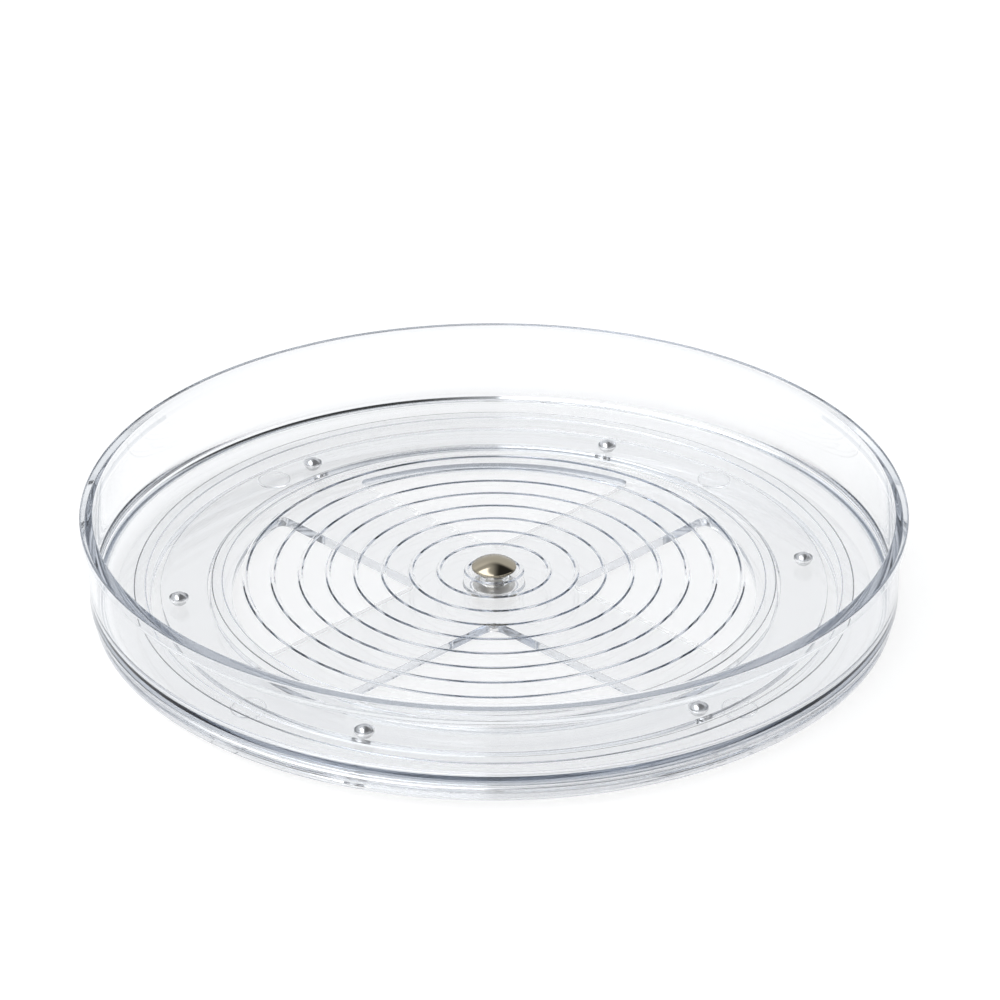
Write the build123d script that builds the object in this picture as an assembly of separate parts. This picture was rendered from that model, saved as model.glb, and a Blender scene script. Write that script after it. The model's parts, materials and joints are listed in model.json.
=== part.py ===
from build123d import *

import os
from math import cos, radians, sin

# A clear round tray that turns on six steel balls over a round base plate.
# Millimetres, +Z up. The origin is on the table, under the turning axis.
# A name that ends in _r is a distance from that axis, and _z is a height above the table.

# Tray
RIM_R = 146.0
RIM_Z = 40.0
LIP_HEIGHT = 5.0
LIP_TAPER = 2.6
WALL_R = 143.8
WALL = 2.7
SKIRT_Z = 8.4
SKIRT_WIDTH = 4.3
SKIRT_DRAFT = 0.4
FLOOR_Z = 11.4
FLOOR_THICK = 2.4
FLOOR_CORNER = 4.8
RIDGE_COUNT = 9
RIDGE_PITCH = 9.86
RIDGE_WIDTH = 2.0
RIDGE_HEIGHT = 0.45
GUIDE_RIBS = ((96.8, 100.4), (124.0, 127.9))
GUIDE_DEPTH = 0.9

# Ball bearing
BALL_D = 6.35
BALL_COUNT = 6
BALL_CIRCLE_R = 112.4
FIRST_BALL_ANGLE = 7.5
BALL_GAP = 0.075
POCKET_GAP = 0.15
CAGE_R = (102.0, 118.8)
CAGE_Z = (5.2, 7.2)
TRACK_R = (101.2, 122.4)

# Base
BASE_Z = 1.0
PLATE_THICK = 3.6
BASE_R = 142.6
BASE_LIP_Z = (4.2, 7.0)
BASE_LIP_WIDTH = 3.2
BASE_FLAT_R = 136.0
WINDOW_R = 93.5
ARM_WIDTH = 38.0
WINDOW_APEX_RADIUS = 5.0
WINDOW_END_RADIUS = 3.0
HUB_R = 11.0
HUB_Z = 5.6

# Centre joint
PIN_R = 3.0
PIN_HEAD_R = 5.5
PIN_END_Z = 1.3
PIN_HEAD = 0.9
CAP_R = 8.0
CAP_Z = 12.3
CAP_EDGE = 1.0
CAP_DOME = 3.0
CAP_SHOULDER = 0.8
RUNNING_GAP = 0.05
END_GAP = 0.1
BUSH_R = 4.5
BUSH_FLANGE_R = 5.6
BUSH_FLANGE = 0.5
WASHER_R = 5.4
NUT_POCKET_R = 8.4
NUT_POCKET_DEPTH = 1.6
NUT_R = 7.0
NUT_THICK = 0.5
NUT_DISH = 0.3
NUT_GRIP = 1.6
BASE_WASHER_R = 7.6
BASE_WASHER_THICK = 0.5

# Feet
FOOT_R = 6.0
FOOT_THICK = 1.6
FOOT_CIRCLE_R = 117.0
FOOT_ANGLES = (45, 135, 225, 315)

UNDERSIDE_Z = FLOOR_Z - FLOOR_THICK
PLATE_Z = BASE_Z + PLATE_THICK
BALL_R = BALL_D / 2
BALL_Z = UNDERSIDE_Z - BALL_GAP - BALL_R
TRACK_Z = BALL_Z - BALL_R - BALL_GAP
BALL_ANGLES = [FIRST_BALL_ANGLE + i * 360 / BALL_COUNT for i in range(BALL_COUNT)]


def turned(corners):
    """A solid turned about Z from its closed outline: (radius, height, corner rounding)."""
    outline = FilletPolyline(*[(r, z) for r, z, _ in corners], radius=[c for *_, c in corners], close=True)
    return revolve(Plane.XZ * make_face(outline), Axis.Z)


def ring(inner_r, outer_r, low_z, high_z, rounding=0.0):
    """A flat ring or washer of rectangular section."""
    corners = [(inner_r, low_z), (outer_r, low_z), (outer_r, high_z), (inner_r, high_z)]
    return turned([(r, z, rounding) for r, z in corners])


def on_circle(radius, angle, height):
    """A place on a circle about the turning axis."""
    return Pos(radius * cos(radians(angle)), radius * sin(radians(angle)), height)


def ridge(radius):
    """Outline of one low rounded ridge on the tray floor, from the outside in."""
    half = RIDGE_WIDTH / 2
    crest = 0.35 * half
    top_z = FLOOR_Z + RIDGE_HEIGHT
    return [
        (radius + half, FLOOR_Z, 0.3),
        (radius + crest, top_z, 0.3),
        (radius - crest, top_z, 0.3),
        (radius - half, FLOOR_Z, 0.3),
    ]


def guide_rib(inner_r, outer_r):
    """Outline of one rib under the tray floor, from the inside out."""
    low_z = UNDERSIDE_Z - GUIDE_DEPTH
    return [
        (inner_r, UNDERSIDE_Z, 0.25),
        (inner_r, low_z, 0.3),
        (outer_r, low_z, 0.3),
        (outer_r, UNDERSIDE_Z, 0.25),
    ]


def make_tray():
    """The clear tray: ribbed floor, upright wall and rolled rim lip in one moulding."""
    outline = [(BUSH_R, UNDERSIDE_Z, 0)]
    for inner_r, outer_r in GUIDE_RIBS:
        outline += guide_rib(inner_r, outer_r)
    skirt_r = WALL_R - SKIRT_WIDTH
    inner_wall_r = WALL_R - WALL
    lip_z = RIM_Z - LIP_HEIGHT
    outline += [
        (skirt_r, UNDERSIDE_Z, 0.3),
        (skirt_r + SKIRT_DRAFT, SKIRT_Z, 0.25),
        (WALL_R, SKIRT_Z, 1.2),
        (WALL_R, lip_z - LIP_TAPER / 2, 2.0),
        (RIM_R, lip_z + LIP_TAPER / 2, 2.0),
        (RIM_R, RIM_Z, 0.7),
        (inner_wall_r, RIM_Z, 0.6),
        (inner_wall_r, FLOOR_Z, FLOOR_CORNER),
    ]
    for k in range(RIDGE_COUNT, 0, -1):
        outline += ridge(k * RIDGE_PITCH)
    outline += [(BUSH_R, FLOOR_Z, 0)]
    return turned(outline)


def make_ball_cage():
    """The clear ring that keeps the balls evenly spaced, with one pocket for each ball."""
    cage = ring(*CAGE_R, *CAGE_Z, rounding=0.3)
    height = CAGE_Z[1] - CAGE_Z[0]
    middle_z = sum(CAGE_Z) / 2
    for angle in BALL_ANGLES:
        cage -= on_circle(BALL_CIRCLE_R, angle, middle_z) * Cylinder(BALL_R + POCKET_GAP, height + 2)
    return cage


def window_sketch():
    """One opening between two arms, on the +X side: straight sides at 45 degrees, round outside."""
    apex_x = ARM_WIDTH / 2 / sin(radians(45))
    reach = WINDOW_R + 1
    wedge = make_face(Polyline((apex_x, 0), (apex_x + reach, reach), (apex_x + reach, -reach), close=True))
    window = wedge & Circle(WINDOW_R)
    apex = window.vertices().sort_by(Axis.X)[0]
    window = fillet(apex, WINDOW_APEX_RADIUS)
    ends = window.vertices().filter_by(lambda v: abs(v.Y) > WINDOW_R / 2)
    return fillet(ends, WINDOW_END_RADIUS)


def make_base_plate():
    """The base: a wide ring with an upturned edge, a ball track, and a cross with a hub."""
    track_in, track_out = TRACK_R
    edge_z, edge_top_z = BASE_LIP_Z
    plate = turned([
        (PIN_R, BASE_Z + NUT_POCKET_DEPTH, 0),
        (NUT_POCKET_R, BASE_Z + NUT_POCKET_DEPTH, 0),
        (NUT_POCKET_R, BASE_Z, 0.4),
        (BASE_FLAT_R, BASE_Z, 3.0),
        (BASE_R, edge_z, 0.8),
        (BASE_R, edge_top_z, 0.8),
        (BASE_R - BASE_LIP_WIDTH, edge_top_z, 0.6),
        (BASE_FLAT_R - 1.5, PLATE_Z, 2.0),
        (track_out, PLATE_Z, 0.4),
        (track_out, TRACK_Z, 0.4),
        (track_in, TRACK_Z, 0.4),
        (track_in, PLATE_Z, 0.4),
        (HUB_R, PLATE_Z, 0.4),
        (HUB_R, HUB_Z, 0.3),
        (PIN_R, HUB_Z, 0),
    ])
    window = Pos(0, 0, BASE_Z - 1) * extrude(window_sketch(), PLATE_THICK + 2)
    for quarter in range(4):
        plate -= Rot(0, 0, 90 * quarter) * window
    for angle in FOOT_ANGLES:
        seat = Cylinder(FOOT_R, FOOT_THICK, align=(Align.CENTER, Align.CENTER, Align.MIN))
        plate -= on_circle(FOOT_CIRCLE_R, angle, 0) * seat
    return plate


def make_foot(angle):
    """A soft round pad, let into a shallow seat under the base."""
    pad = Cylinder(FOOT_R, FOOT_THICK, align=(Align.CENTER, Align.CENTER, Align.MIN))
    lowest = pad.edges().sort_by(Axis.Z)[0]
    return on_circle(FOOT_CIRCLE_R, angle, 0) * fillet(lowest, 0.4)


def make_pin_cap():
    """The domed metal button that hides the pin's head, with a soft shoulder round its crown."""
    upright = (Align.CENTER, Align.CENTER, Align.MIN)
    crown_z = CAP_Z + CAP_EDGE + CAP_DOME
    dome_r = (CAP_R**2 + CAP_DOME**2) / (2 * CAP_DOME)
    blank = Pos(0, 0, CAP_Z) * Cylinder(CAP_R, CAP_EDGE + CAP_DOME, align=upright)
    cap = blank & Pos(0, 0, crown_z - dome_r) * Sphere(dome_r)
    rims = cap.edges().filter_by(lambda e: e.is_closed).sort_by(Axis.Z)
    cap = fillet(rims[-1], CAP_SHOULDER)
    rims = cap.edges().filter_by(lambda e: e.is_closed).sort_by(Axis.Z)
    cap = fillet(rims[0], 0.4)
    return cap - Pos(0, 0, CAP_Z) * Cylinder(PIN_HEAD_R, PIN_HEAD, align=upright)


def make_centre_pin():
    """The steel pin: a shank through the hub, and a flat head inside the cap."""
    return turned([
        (0, PIN_END_Z, 0),
        (PIN_R, PIN_END_Z, 0.5),
        (PIN_R, CAP_Z, 0),
        (PIN_HEAD_R, CAP_Z, 0),
        (PIN_HEAD_R, CAP_Z + PIN_HEAD, 0),
        (0, CAP_Z + PIN_HEAD, 0),
    ])


def make_hub_bushing():
    """The flanged bush that lines the tray's centre hole and turns on the pin."""
    bore_r = PIN_R + RUNNING_GAP
    flange_z = FLOOR_Z + BUSH_FLANGE
    return turned([
        (bore_r, UNDERSIDE_Z, 0.2),
        (BUSH_R, UNDERSIDE_Z, 0),
        (BUSH_R, FLOOR_Z, 0),
        (BUSH_FLANGE_R, FLOOR_Z, 0),
        (BUSH_FLANGE_R, flange_z, 0.25),
        (bore_r, flange_z, 0.2),
    ])


def make_push_nut():
    """The sprung steel nut that grips the pin's lower end, dished up towards the washer."""
    top_z = BASE_Z + NUT_POCKET_DEPTH - BASE_WASHER_THICK
    low_z = top_z - NUT_THICK
    return turned([
        (PIN_R, low_z - NUT_DISH, 0),
        (PIN_R + NUT_GRIP, low_z - NUT_DISH, 0),
        (NUT_R, low_z, 0),
        (NUT_R, top_z, 0),
        (PIN_R, top_z, 0),
    ])


def write(name, solid):
    """Write one named sub-part as its own STEP file."""
    solid.label = name
    export_step(solid, f"parts/{name}.step")


os.makedirs("parts", exist_ok=True)
write("tray", make_tray())
write("ball_cage", make_ball_cage())
for number, ball_angle in enumerate(BALL_ANGLES, start=1):
    write(f"ball_{number}", on_circle(BALL_CIRCLE_R, ball_angle, BALL_Z) * Sphere(BALL_R))
write("base_plate", make_base_plate())
for number, foot_angle in enumerate(FOOT_ANGLES, start=1):
    write(f"foot_{number}", make_foot(foot_angle))
write("pin_cap", make_pin_cap())
write("centre_pin", make_centre_pin())
write("hub_bushing", make_hub_bushing())
bush_top_z = FLOOR_Z + BUSH_FLANGE
bore = PIN_R + RUNNING_GAP
pocket_top_z = BASE_Z + NUT_POCKET_DEPTH
write("glide_washer", ring(bore, WASHER_R, bush_top_z, CAP_Z - END_GAP, 0.1))
write("spacer", ring(PIN_R, WASHER_R, HUB_Z, UNDERSIDE_Z - END_GAP, 0.25))
write("base_washer", ring(PIN_R, BASE_WASHER_R, pocket_top_z - BASE_WASHER_THICK, pocket_top_z))
write("push_nut", make_push_nut())
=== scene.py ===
import json
from math import asin, ceil, cos, hypot, pi, radians, sin, sqrt, tan

import bpy
from mathutils import Matrix, Vector
from mathutils.geometry import tessellate_polygon


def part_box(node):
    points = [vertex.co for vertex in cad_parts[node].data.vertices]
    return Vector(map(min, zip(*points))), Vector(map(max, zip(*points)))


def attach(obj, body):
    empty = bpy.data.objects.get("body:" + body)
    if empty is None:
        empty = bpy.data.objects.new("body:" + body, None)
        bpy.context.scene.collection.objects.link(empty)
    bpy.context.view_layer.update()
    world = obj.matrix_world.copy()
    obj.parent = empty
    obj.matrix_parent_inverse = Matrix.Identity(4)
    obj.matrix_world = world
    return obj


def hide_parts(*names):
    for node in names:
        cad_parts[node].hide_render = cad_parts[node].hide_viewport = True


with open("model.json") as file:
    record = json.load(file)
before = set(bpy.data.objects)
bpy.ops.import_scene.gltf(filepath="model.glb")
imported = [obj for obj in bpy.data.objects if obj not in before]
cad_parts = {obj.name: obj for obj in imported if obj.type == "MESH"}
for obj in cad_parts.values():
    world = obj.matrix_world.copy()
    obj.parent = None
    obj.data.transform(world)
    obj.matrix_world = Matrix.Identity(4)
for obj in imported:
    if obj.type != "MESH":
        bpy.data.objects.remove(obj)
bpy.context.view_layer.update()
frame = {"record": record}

MM = 0.001

# Details smaller than the frame's boxes, in millimetres
WALL = 2.7
WALL_INSET = 2.2
LIP_HEIGHT = 5.0
LIP_TAPER = 2.6
FLOOR_ABOVE_RIBS = 3.3
FLOOR_THICK = 2.4
SKIRT_ABOVE_RIBS = 0.3
SKIRT_INSET = 1.6
SKIRT_DRAFT = 0.4
FLOOR_CORNER = 4.8
RIDGE_COUNT = 9
RIDGE_PITCH = 9.86
RIDGE_WIDTH = 2.0
RIDGE_HEIGHT = 0.45
RIDGE_CREST_SHARE = 0.35
GUIDE_RIBS = ((96.8, 100.4), (124.0, 127.9))
TRACK = (101.2, 122.4)
TRACK_DEPTH = 2.1
CAGE_INNER_R = 102.0
CAGE_ROUNDING = 0.3
POCKET_ROOM = 0.15
PLATE_THICK = 3.6
BASE_LIP_HEIGHT = 2.8
BASE_LIP_WIDTH = 3.2
BASE_FLAT_R = 136.0
WINDOW_R = 93.5
ARM_WIDTH = 38.0
WINDOW_APEX_RADIUS = 5.0
WINDOW_END_RADIUS = 3.0
WINDOW_EDGE = 0.08
HUB_R = 11.0
NUT_POCKET_R = 8.4
NUT_POCKET_DEPTH = 1.6
PIN_R = 3.0
BUSH_R = 4.5
FLANGE = 0.5
CAP_DOME = 3.0
CAP_SHOULDER = 0.8
SKIN_GAP = 0.04
AXIS_R = 0.4
SHARP_EDGE = 0.05

# Fineness of round things, in steps round the circle or along a profile
WIDE_STEPS = 360
CAP_STEPS = 160
NARROW_STEPS = 120
SMALL_STEPS = 96
POCKET_STEPS = 72
PAD_STEPS = 64
BALL_PROFILE_STEPS = 48
CAP_PROFILE_STEPS = 40
SHOULDER_STEPS = 12
CORNER_STEPS = 8

# Steps for each degree of a base opening's outline, along its long arc and round its corners
LONG_ARC_STEPS = 1.0
CORNER_ARC_STEPS = 0.15
LEAST_ARC_STEPS = 6

# Surface detail: the plastic's faint waviness, and the fine wear of the metal
WAVE_SCALE = 60.0
WAVE_DETAIL = 1.0
WAVE_STRENGTH = 0.015
WAVE_HEIGHT = 0.0001
WEAR_SCALE = 900.0
WEAR_DETAIL = 3.0
NOISE_RANGE = (0.3, 0.7)

# Light: the floor's own glow, which is most of its brightness, and bright cards in dark surroundings.
# A card fills the directions whose x (right), y (back) and z (up) lie between its limits, and has a
# softness and a strength.
FLOOR_WHITE = 0.25
FLOOR_GLOW = 0.82
FLOOR_SIZE = 30
FLOOR_DROP = 0.0002
SKY_DIM = 0.05
SKY_COLOUR = (0.96, 0.98, 1.0, 1)
LIGHT_BOUNCES = 48
CARDS = (
    ((-1.3, 0.0), (-1.3, 0.5), (-0.4, 1.3), 0.3, 0.9),
    ((-0.75, -0.03), (-0.85, 0.2), (0.5, 0.95), 0.03, 3.0),
    ((-1.3, 1.3), (0.45, 1.3), (-0.3, 0.85), 0.12, 0.95),
    ((-1.3, 1.3), (-1.3, 0.0), (-0.3, 0.42), 0.12, 0.8),
)

# Camera, as the photographer stood
ELEVATION = 28.85
DISTANCE = 1.4001
LENS = 141.3
AIM_UP = 1.019
AIM_RIGHT = 0.087
SENSOR_WIDTH = 36


def low(node):
    """The lowest corner of a CAD node, in millimetres."""
    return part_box(node)[0] / MM


def high(node):
    """The highest corner of a CAD node, in millimetres."""
    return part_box(node)[1] / MM


# ---------------------------------------------------------------- mesh code

def corner_arc(before, corner, after, size):
    """The points of one rounded corner, each as (across, up, normal across, normal up)."""
    u = (Vector(before) - Vector(corner)).normalized()
    v = (Vector(after) - Vector(corner)).normalized()
    half = u.angle(v) / 2
    turn = pi - 2 * half
    if turn < 1e-4:
        return []
    sign = 1 if u.x * v.y - u.y * v.x < 0 else -1
    centre = Vector(corner) + (u + v).normalized() * (size / sin(half))
    start = Vector(corner) + u * (size / tan(half)) - centre
    steps = max(2, ceil(turn / (pi / 2) * CORNER_STEPS))
    points = []
    for i in range(steps + 1):
        arm = start.copy()
        arm.rotate(Matrix.Rotation(sign * turn * i / steps, 2))
        at = centre + arm
        points.append((at.x, at.y, sign * arm.x / size, sign * arm.y / size))
    return points


def section(corners, closed=True):
    """A smooth outline from (across, up, rounding) corners. Material lies on its left."""
    count = len(corners)
    points = []
    for i, (x, y, size) in enumerate(corners):
        if not closed and i in (0, count - 1):
            near = corners[1] if i == 0 else corners[-2]
            along = Vector((near[0] - x, near[1] - y)).normalized() * (1 if i == 0 else -1)
            points.append((x, y, along.y, -along.x))
            continue
        before, after = corners[i - 1][:2], corners[(i + 1) % count][:2]
        points += corner_arc(before, (x, y), after, size or SHARP_EDGE)
    return points


def circle(segments=WIDE_STEPS, centre=(0, 0)):
    """A round path: places with the direction in which a section's distance is measured."""
    turns = [2 * pi * i / segments for i in range(segments)]
    return [(*centre, cos(t), sin(t)) for t in turns]


class Shell:
    """A closed surface made of swept strips and flat caps that share their edges.

    A strip that meets a cap runs a little way along the flat face, and the cap takes over there.
    """

    def __init__(self):
        self.points, self.normals, self.faces = [], [], []

    def sweep(self, path, outline, closed=False):
        """Sweep an outline along a closed path; gives the first and last rings of points."""
        base, rows = len(self.points), len(outline)
        for x, y, dx, dy in path:
            for across, up, n_across, n_up in outline:
                self.points.append(((x + dx * across) * MM, (y + dy * across) * MM, up * MM))
                self.normals.append((dx * n_across, dy * n_across, n_up))
        count = len(path)
        for i in range(count):
            here, there = base + i * rows, base + (i + 1) % count * rows
            for j in range(rows if closed else rows - 1):
                k = (j + 1) % rows
                self.faces.append((here + j, there + j, there + k, here + k))
        return [[base + i * rows + j for i in range(count)] for j in (0, rows - 1)]

    def cap(self, rings, up):
        """A flat face inside the first ring, with the others as holes."""
        loops = [[Vector(self.points[i]) for i in ring] for ring in rings]
        index = [i for ring in rings for i in ring]
        for triangle in tessellate_polygon(loops):
            a, b, c = (Vector(self.points[index[i]]) for i in triangle)
            facing_up = (b - a).cross(c - a).z > 0
            corners = [index[i] for i in triangle]
            self.faces.append(corners if facing_up == up else corners[::-1])

    def build(self, name, material, node):
        """Make the piece, which rides on the body of the CAD node that it stands for."""
        mesh = bpy.data.meshes.new(name)
        mesh.from_pydata(self.points, [], self.faces)
        mesh.shade_smooth()
        mesh.normals_split_custom_set_from_vertices(self.normals)
        mesh.materials.append(material)
        piece = bpy.data.objects.new(name, mesh)
        bpy.context.scene.collection.objects.link(piece)
        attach(piece, BODY_OF[node])
        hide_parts(node)
        return piece


BODY_OF = {n: body for body, nodes in frame["record"]["behaviour"]["bodies"].items() for n in nodes}


# ---------------------------------------------------------------- materials

def node_material(name):
    """An empty material with its output node."""
    material = bpy.data.materials.new(name)
    material.use_nodes = True
    tree = material.node_tree
    tree.nodes.clear()
    output = tree.nodes.new("ShaderNodeOutputMaterial")
    return material, tree, output


def noise(tree, scale, detail):
    """Noise in the object's own space, so that it turns with the piece."""
    place = tree.nodes.new("ShaderNodeTexCoord")
    texture = tree.nodes.new("ShaderNodeTexNoise")
    texture.inputs["Scale"].default_value = scale
    texture.inputs["Detail"].default_value = detail
    tree.links.new(place.outputs["Object"], texture.inputs["Vector"])
    return texture.outputs["Fac"]


def spread(tree, value, lowest, highest):
    """Noise spread to a range of numbers."""
    ranged = tree.nodes.new("ShaderNodeMapRange")
    ranged.inputs["From Min"].default_value = NOISE_RANGE[0]
    ranged.inputs["From Max"].default_value = NOISE_RANGE[1]
    ranged.inputs["To Min"].default_value = lowest
    ranged.inputs["To Max"].default_value = highest
    tree.links.new(value, ranged.inputs["Value"])
    return ranged.outputs["Result"]


def clear_plastic(name, ior=1.49, tint=(0.42, 0.47, 0.55), density=30.0, shine=0.15):
    """Clear moulded plastic: glassy, faintly blue where it is thick, with a trace of waviness."""
    material, tree, output = node_material(name)
    shader = tree.nodes.new("ShaderNodeBsdfPrincipled")
    shader.inputs["Base Color"].default_value = (1, 1, 1, 1)
    shader.inputs["Transmission Weight"].default_value = 1.0
    shader.inputs["IOR"].default_value = ior
    shader.inputs["Roughness"].default_value = 0.0
    shader.inputs["Specular Tint"].default_value = (shine, shine, shine, 1)
    bump = tree.nodes.new("ShaderNodeBump")
    bump.inputs["Strength"].default_value = WAVE_STRENGTH
    bump.inputs["Distance"].default_value = WAVE_HEIGHT
    tree.links.new(noise(tree, WAVE_SCALE, WAVE_DETAIL), bump.inputs["Height"])
    tree.links.new(bump.outputs["Normal"], shader.inputs["Normal"])
    absorb = tree.nodes.new("ShaderNodeVolumeAbsorption")
    absorb.inputs["Color"].default_value = (*tint, 1)
    absorb.inputs["Density"].default_value = density
    tree.links.new(shader.outputs["BSDF"], output.inputs["Surface"])
    tree.links.new(absorb.outputs["Volume"], output.inputs["Volume"])
    return material


def metal(name, colour, roughness):
    """Polished metal with fine wear in its gloss."""
    material, tree, output = node_material(name)
    shader = tree.nodes.new("ShaderNodeBsdfPrincipled")
    shader.inputs["Base Color"].default_value = (*colour, 1)
    shader.inputs["Metallic"].default_value = 1.0
    wear = spread(tree, noise(tree, WEAR_SCALE, WEAR_DETAIL), *roughness)
    tree.links.new(wear, shader.inputs["Roughness"])
    tree.links.new(shader.outputs["BSDF"], output.inputs["Surface"])
    return material


# ---------------------------------------------------------------- the pieces

def ridge(radius, floor_z):
    """One low rounded ridge on the tray floor, from the outside in."""
    half, top_z = RIDGE_WIDTH / 2, floor_z + RIDGE_HEIGHT
    crest = RIDGE_CREST_SHARE * half
    return [
        (radius + half, floor_z, 0.3),
        (radius + crest, top_z, 0.3),
        (radius - crest, top_z, 0.3),
        (radius - half, floor_z, 0.3),
    ]


def make_tray(material):
    """The clear tray in one closed outline."""
    rib_z, rim_z, rim_r = low("tray").z, high("tray").z, high("tray").x
    floor_z = rib_z + FLOOR_ABOVE_RIBS
    under_z = floor_z - FLOOR_THICK
    skirt_z = rib_z + SKIRT_ABOVE_RIBS
    wall_r = rim_r - WALL_INSET
    inside_r = wall_r - WALL
    lip_z = rim_z - LIP_HEIGHT
    skirt_r = inside_r - SKIRT_INSET
    bore_r = BUSH_R + SKIN_GAP
    outline = [(bore_r, under_z, 0.1)]
    for inner_r, outer_r in GUIDE_RIBS:
        outline += [
            (inner_r, under_z, 0.25),
            (inner_r, rib_z, 0.3),
            (outer_r, rib_z, 0.3),
            (outer_r, under_z, 0.25),
        ]
    outline += [
        (skirt_r, under_z, 0.3),
        (skirt_r + SKIRT_DRAFT, skirt_z, 0.25),
        (wall_r, skirt_z, 1.2),
        (wall_r, lip_z - LIP_TAPER / 2, 2.0),
        (rim_r, lip_z + LIP_TAPER / 2, 2.0),
        (rim_r, rim_z, 0.7),
        (inside_r, rim_z, 0.6),
        (inside_r, floor_z, FLOOR_CORNER),
    ]
    for k in range(RIDGE_COUNT, 0, -1):
        outline += ridge(k * RIDGE_PITCH, floor_z)
    outline.append((bore_r, floor_z, 0.1))
    shell = Shell()
    shell.sweep(circle(), section(outline), closed=True)
    return shell.build("clear_tray", material, "tray")


def make_cage(material):
    """The ball cage: a flat ring with a round pocket at each ball."""
    lo, hi = low("ball_cage"), high("ball_cage")
    shell = Shell()
    outer = [
        (hi.x - 1, lo.z, 0),
        (hi.x, lo.z, CAGE_ROUNDING),
        (hi.x, hi.z, CAGE_ROUNDING),
        (hi.x - 1, hi.z, 0),
    ]
    inner = [
        (CAGE_INNER_R + 1, hi.z, 0),
        (CAGE_INNER_R, hi.z, CAGE_ROUNDING),
        (CAGE_INNER_R, lo.z, CAGE_ROUNDING),
        (CAGE_INNER_R + 1, lo.z, 0),
    ]
    outer_low, outer_high = shell.sweep(circle(), section(outer, closed=False))
    inner_high, inner_low = shell.sweep(circle(), section(inner, closed=False))
    lows, highs = [], []
    for number in range(1, 7):
        ball_lo, ball_hi = low(f"ball_{number}"), high(f"ball_{number}")
        centre = (ball_lo + ball_hi) / 2
        pocket_r = (ball_hi.x - ball_lo.x) / 2 + POCKET_ROOM
        wall = [
            (pocket_r + 0.4, hi.z, 0),
            (pocket_r, hi.z, 0.2),
            (pocket_r, lo.z, 0.2),
            (pocket_r + 0.4, lo.z, 0),
        ]
        path = circle(POCKET_STEPS, (centre.x, centre.y))
        pocket_high, pocket_low = shell.sweep(path, section(wall, closed=False))
        highs.append(pocket_high)
        lows.append(pocket_low)
    shell.cap([outer_high, inner_high, *highs], True)
    shell.cap([outer_low, inner_low, *lows], False)
    return shell.build("clear_ball_cage", material, "ball_cage")


def window_path():
    """The outline of the opening on the +X side as a path, anticlockwise, facing outwards."""
    apex_x = ARM_WIDTH / 2 / sin(radians(45))
    side = 1 / sqrt(2)
    # centre of each end's rounding: inside the big arc and beside the straight edge
    big = WINDOW_R - WINDOW_END_RADIUS
    offset = WINDOW_END_RADIUS + apex_x * side
    end_angle = radians(45) - asin(offset / big)
    end_x, end_y = big * cos(end_angle), big * sin(end_angle)
    apex_centre = apex_x + WINDOW_APEX_RADIUS / side
    arcs = [
        ((end_x, -end_y), WINDOW_END_RADIUS, radians(-135), -end_angle),
        ((0, 0), WINDOW_R, -end_angle, end_angle),
        ((end_x, end_y), WINDOW_END_RADIUS, end_angle, radians(135)),
        ((apex_centre, 0), WINDOW_APEX_RADIUS, radians(135), radians(225)),
    ]
    path = []
    for (cx, cy), size, start, end in arcs:
        per_degree = LONG_ARC_STEPS if size == WINDOW_R else CORNER_ARC_STEPS
        steps = max(LEAST_ARC_STEPS, ceil((end - start) * 180 / pi * per_degree))
        for i in range(steps + 1):
            t = start + (end - start) * i / steps
            x, y = cx + size * cos(t), cy + size * sin(t)
            # an arc that carries on from the last one shares its first point
            if not path or hypot(x - path[-1][0], y - path[-1][1]) > 1e-6:
                path.append((x, y, cos(t), sin(t)))
    return path


def turned_path(path, quarter):
    """A path turned about the axis by quarter turns."""
    for _ in range(quarter):
        path = [(-y, x, -dy, dx) for x, y, dx, dy in path]
    return path


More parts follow.
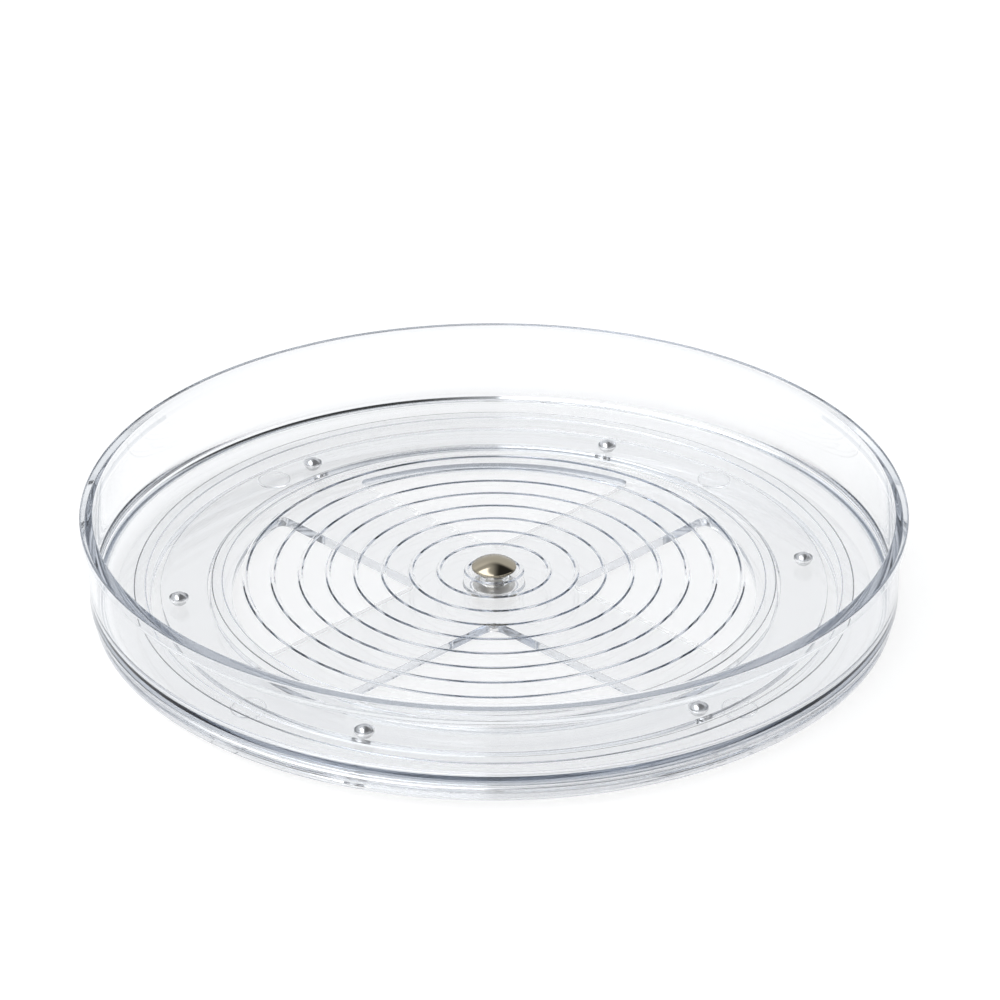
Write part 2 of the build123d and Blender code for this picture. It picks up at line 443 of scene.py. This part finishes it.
def make_base_plate(material):
    """The base: outer ring with its upturned edge, hub, and four openings between the arms."""
    lo, hi = low("base_plate"), high("base_plate")
    base_z, base_r, lip_z = lo.z, hi.x, hi.z
    plate_z = base_z + PLATE_THICK
    hub_z = low("spacer").z
    track_z = plate_z - TRACK_DEPTH
    pin_r = PIN_R + SKIN_GAP
    pocket_z = base_z + NUT_POCKET_DEPTH
    shell = Shell()
    rim = [
        (BASE_FLAT_R - 6, base_z, 0),
        (BASE_FLAT_R, base_z, 3.0),
        (base_r, lip_z - BASE_LIP_HEIGHT, 0.8),
        (base_r, lip_z, 0.8),
        (base_r - BASE_LIP_WIDTH, lip_z, 0.6),
        (BASE_FLAT_R - 1.5, plate_z, 2.0),
        (TRACK[1], plate_z, 0.4),
        (TRACK[1], track_z, 0.4),
        (TRACK[0], track_z, 0.4),
        (TRACK[0], plate_z, 0.4),
        (TRACK[0] - 2, plate_z, 0),
    ]
    hub = [
        (HUB_R + 2, plate_z, 0),
        (HUB_R, plate_z, 0.4),
        (HUB_R, hub_z, 0.3),
        (pin_r, hub_z, 0.1),
        (pin_r, pocket_z, 0.1),
        (NUT_POCKET_R, pocket_z, 0.2),
        (NUT_POCKET_R, base_z, 0.4),
        (NUT_POCKET_R + 2, base_z, 0),
    ]
    wall = [
        (0.5, plate_z, 0),
        (0, plate_z, WINDOW_EDGE),
        (0, base_z, WINDOW_EDGE),
        (0.5, base_z, 0),
    ]
    rim_low, rim_high = shell.sweep(circle(), section(rim, closed=False))
    hub_high, hub_low = shell.sweep(circle(SMALL_STEPS), section(hub, closed=False))
    highs, lows = [], []
    for quarter in range(4):
        path = turned_path(window_path(), quarter)
        window_high, window_low = shell.sweep(path, section(wall, closed=False))
        highs.append(window_high)
        lows.append(window_low)
    seats = []
    for number in range(1, 5):
        foot_lo, foot_hi = low(f"foot_{number}"), high(f"foot_{number}")
        centre = (foot_lo + foot_hi) / 2
        seat_r = (foot_hi.x - foot_lo.x) / 2 + SKIN_GAP
        seat = [
            (seat_r - 0.5, foot_hi.z, 0),
            (seat_r, foot_hi.z, 0.1),
            (seat_r, base_z, 0.1),
            (seat_r + 0.5, base_z, 0),
        ]
        path = circle(PAD_STEPS, (centre.x, centre.y))
        seat_top, seat_mouth = shell.sweep(path, section(seat, closed=False))
        shell.cap([seat_top], False)
        seats.append(seat_mouth)
    shell.cap([rim_high, hub_high, *highs], True)
    shell.cap([rim_low, hub_low, *lows, *seats], False)
    return shell.build("clear_base_plate", material, "base_plate")


def make_ball(number, material):
    """One polished ball."""
    node = f"ball_{number}"
    lo, hi = low(node), high(node)
    centre, size = (lo + hi) / 2, (hi.x - lo.x) / 2
    outline = []
    for i in range(1, BALL_PROFILE_STEPS):
        t = -pi / 2 + pi * i / BALL_PROFILE_STEPS
        outline.append((size * cos(t), centre.z + size * sin(t), cos(t), sin(t)))
    shell = Shell()
    south, north = shell.sweep(circle(SMALL_STEPS, (centre.x, centre.y)), outline)
    shell.cap([south], False)
    shell.cap([north], True)
    return shell.build(f"steel_ball_{number}", material, node)


def make_disc(name, node, corners, material, centre=(0, 0), segments=NARROW_STEPS):
    """A solid of revolution whose outline starts and ends near its own axis, and is capped there."""
    shell = Shell()
    bottom, top = shell.sweep(circle(segments, centre), section(corners, closed=False))
    shell.cap([bottom], False)
    shell.cap([top], True)
    return shell.build(name, material, node)


def make_ring(name, node, corners, material):
    """A ring-shaped piece about the turning axis, from its closed outline."""
    shell = Shell()
    shell.sweep(circle(NARROW_STEPS), section(corners), closed=True)
    return shell.build(name, material, node)


def make_pin_cap(material):
    """The domed button: a round crown with a soft shoulder and a rolled lower edge."""
    lo, hi = low("pin_cap"), high("pin_cap")
    cap_r = hi.x
    dome_r = (cap_r**2 + CAP_DOME**2) / (2 * CAP_DOME)
    dome_z = hi.z - dome_r
    fillet_r = cap_r - CAP_SHOULDER
    fillet_z = dome_z + sqrt((dome_r - CAP_SHOULDER) ** 2 - fillet_r**2)
    turn = asin((fillet_z - dome_z) / (dome_r - CAP_SHOULDER))
    outline = section([(AXIS_R, lo.z, 0), (cap_r, lo.z, 0.4), (cap_r, fillet_z, 0)], closed=False)
    for i in range(1, SHOULDER_STEPS + 1):
        t = turn * i / SHOULDER_STEPS
        x, z = fillet_r + CAP_SHOULDER * cos(t), fillet_z + CAP_SHOULDER * sin(t)
        outline.append((x, z, cos(t), sin(t)))
    for i in range(1, CAP_PROFILE_STEPS):
        t = turn + (pi / 2 - turn) * i / CAP_PROFILE_STEPS
        outline.append((dome_r * cos(t), dome_z + dome_r * sin(t), cos(t), sin(t)))
    shell = Shell()
    bottom, top = shell.sweep(circle(CAP_STEPS), outline)
    shell.cap([bottom], False)
    shell.cap([top], True)
    return shell.build("pin_cap_dome", material, "pin_cap")


def make_centre(steel, milky):
    """The pin, bush, washers and push nut of the centre joint."""
    pin_lo = low("centre_pin")
    cap_z = low("pin_cap").z
    shank = [
        (AXIS_R, pin_lo.z, 0),
        (PIN_R, pin_lo.z, 0.5),
        (PIN_R, cap_z - SKIN_GAP, 0.1),
        (AXIS_R, cap_z - SKIN_GAP, 0),
    ]
    make_disc("centre_pin_shank", "centre_pin", shank, steel)
    bore = PIN_R + SKIN_GAP
    for name, node in (("glide_washer_ring", "glide_washer"), ("spacer_tube", "spacer")):
        lo, hi = low(node), high(node)
        ring = [
            (bore, lo.z + SKIN_GAP, 0.08),
            (hi.x, lo.z + SKIN_GAP, 0.1),
            (hi.x, hi.z, 0.1),
            (bore, hi.z, 0.08),
        ]
        make_ring(name, node, ring, milky)
    lo, hi = low("hub_bushing"), high("hub_bushing")
    flange_low = hi.z - FLANGE + SKIN_GAP
    sleeve = [
        (bore, lo.z, 0.15),
        (BUSH_R, lo.z, 0.1),
        (BUSH_R, flange_low, 0.05),
        (hi.x, flange_low, 0.1),
        (hi.x, hi.z, 0.2),
        (bore, hi.z, 0.1),
    ]
    make_ring("hub_bushing_sleeve", "hub_bushing", sleeve, milky)
    for name, node in (("base_washer_ring", "base_washer"), ("push_nut_ring", "push_nut")):
        lo, hi = low(node), high(node)
        ring = [
            (bore, lo.z, 0.1),
            (hi.x, lo.z, 0.1),
            (hi.x, hi.z - SKIN_GAP, 0.1),
            (bore, hi.z - SKIN_GAP, 0.1),
        ]
        make_ring(name, node, ring, steel)


def make_foot(number, material):
    """One soft pad."""
    node = f"foot_{number}"
    lo, hi = low(node), high(node)
    centre = (lo + hi) / 2
    pad_r = (hi.x - lo.x) / 2
    pad = [
        (AXIS_R, lo.z, 0),
        (pad_r, lo.z, 0.4),
        (pad_r, hi.z - SKIN_GAP, 0.1),
        (AXIS_R, hi.z - SKIN_GAP, 0),
    ]
    make_disc(f"foot_pad_{number}", node, pad, material, (centre.x, centre.y), PAD_STEPS)


# ---------------------------------------------------------------- stage, light and camera

def make_floor():
    """A light table: a plain white floor that gives off most of its own brightness."""
    material, tree, output = node_material("white_floor")
    diffuse = tree.nodes.new("ShaderNodeBsdfDiffuse")
    diffuse.inputs["Color"].default_value = (FLOOR_WHITE, FLOOR_WHITE, FLOOR_WHITE, 1)
    glow = tree.nodes.new("ShaderNodeEmission")
    glow.inputs["Color"].default_value = (1, 1, 1, 1)
    glow.inputs["Strength"].default_value = FLOOR_GLOW
    both = tree.nodes.new("ShaderNodeAddShader")
    tree.links.new(diffuse.outputs["BSDF"], both.inputs[0])
    tree.links.new(glow.outputs["Emission"], both.inputs[1])
    tree.links.new(both.outputs["Shader"], output.inputs["Surface"])
    bpy.ops.mesh.primitive_plane_add(size=FLOOR_SIZE, location=(0, 0, -FLOOR_DROP))
    floor = bpy.context.object
    floor.name = "floor"
    floor.data.materials.append(material)


def between(tree, value, lowest, highest, soft):
    """1 where a value lies between two limits, 0 outside them, with soft edges."""
    edges = []
    for limit, low_end, high_end in ((lowest, 0, 1), (highest, 1, 0)):
        edge = tree.nodes.new("ShaderNodeMapRange")
        edge.interpolation_type = "SMOOTHSTEP"
        edge.inputs["From Min"].default_value = limit - soft
        edge.inputs["From Max"].default_value = limit + soft
        edge.inputs["To Min"].default_value = low_end
        edge.inputs["To Max"].default_value = high_end
        tree.links.new(value, edge.inputs["Value"])
        edges.append(edge.outputs["Result"])
    return product(tree, *edges)


def product(tree, first, second):
    """Two numbers multiplied; the second may be a plain number."""
    node = tree.nodes.new("ShaderNodeMath")
    node.operation = "MULTIPLY"
    tree.links.new(first, node.inputs[0])
    if isinstance(second, float):
        node.inputs[1].default_value = second
    else:
        tree.links.new(second, node.inputs[1])
    return node.outputs[0]


def make_world():
    """Dark studio surroundings with large bright cards in them."""
    world = bpy.data.worlds.new("studio")
    bpy.context.scene.world = world
    world.use_nodes = True
    tree = world.node_tree
    place = tree.nodes.new("ShaderNodeTexCoord")
    sky = tree.nodes.new("ShaderNodeSeparateXYZ")
    tree.links.new(place.outputs["Generated"], sky.inputs["Vector"])
    total = None
    for xs, ys, zs, soft, strength in CARDS:
        card = between(tree, sky.outputs["X"], *xs, soft)
        card = product(tree, card, between(tree, sky.outputs["Y"], *ys, soft))
        card = product(tree, card, between(tree, sky.outputs["Z"], *zs, soft))
        card = product(tree, card, strength)
        added = tree.nodes.new("ShaderNodeMath")
        tree.links.new(card, added.inputs[0])
        if total:
            tree.links.new(total, added.inputs[1])
        else:
            added.inputs[1].default_value = SKY_DIM
        total = added.outputs[0]
    background = tree.nodes["Background"]
    background.inputs["Color"].default_value = SKY_COLOUR
    tree.links.new(total, background.inputs["Strength"])


def make_camera():
    """The camera at the photograph's angle, aimed a little above and right of the tray's centre."""
    data = bpy.data.cameras.new("camera")
    data.lens = LENS
    data.sensor_width = SENSOR_WIDTH
    camera = bpy.data.objects.new("camera", data)
    floor_z = (low("tray").z + FLOOR_ABOVE_RIBS) * MM
    tilt = radians(ELEVATION)
    place = Vector((0, -cos(tilt), sin(tilt))) * DISTANCE + Vector((0, 0, floor_z))
    turn = Matrix.Rotation(pi / 2 - tilt, 4, "X")
    aim = Matrix.Rotation(radians(AIM_UP), 4, "X") @ Matrix.Rotation(radians(-AIM_RIGHT), 4, "Y")
    camera.matrix_world = Matrix.Translation(place) @ turn @ aim
    bpy.context.scene.collection.objects.link(camera)
    bpy.context.scene.camera = camera


make_tray(clear_plastic("clear_tray_plastic"))
make_cage(clear_plastic("clear_cage_plastic", density=8.0, shine=1.0))
make_base_plate(clear_plastic("clear_base_plastic", density=8.0, shine=1.0))
ball_steel = metal("polished_ball_steel", (0.56, 0.56, 0.57), (0.02, 0.05))
for ball in range(1, 7):
    make_ball(ball, ball_steel)
make_pin_cap(metal("warm_nickel", (0.35, 0.31, 0.24), (0.04, 0.1)))
turned_steel = metal("turned_steel", (0.55, 0.53, 0.5), (0.25, 0.4))
milky_nylon = clear_plastic("milky_nylon", ior=1.53, tint=(0.85, 0.86, 0.84), density=60.0)
make_centre(turned_steel, milky_nylon)
pad = clear_plastic("clear_silicone", ior=1.41, tint=(0.8, 0.8, 0.8), density=20.0)
for foot in range(1, 5):
    make_foot(foot, pad)
make_floor()
make_world()
make_camera()

scene = bpy.context.scene
scene.view_settings.view_transform = "Standard"
scene.cycles.max_bounces = LIGHT_BOUNCES
scene.cycles.transmission_bounces = LIGHT_BOUNCES
scene.cycles.glossy_bounces = LIGHT_BOUNCES
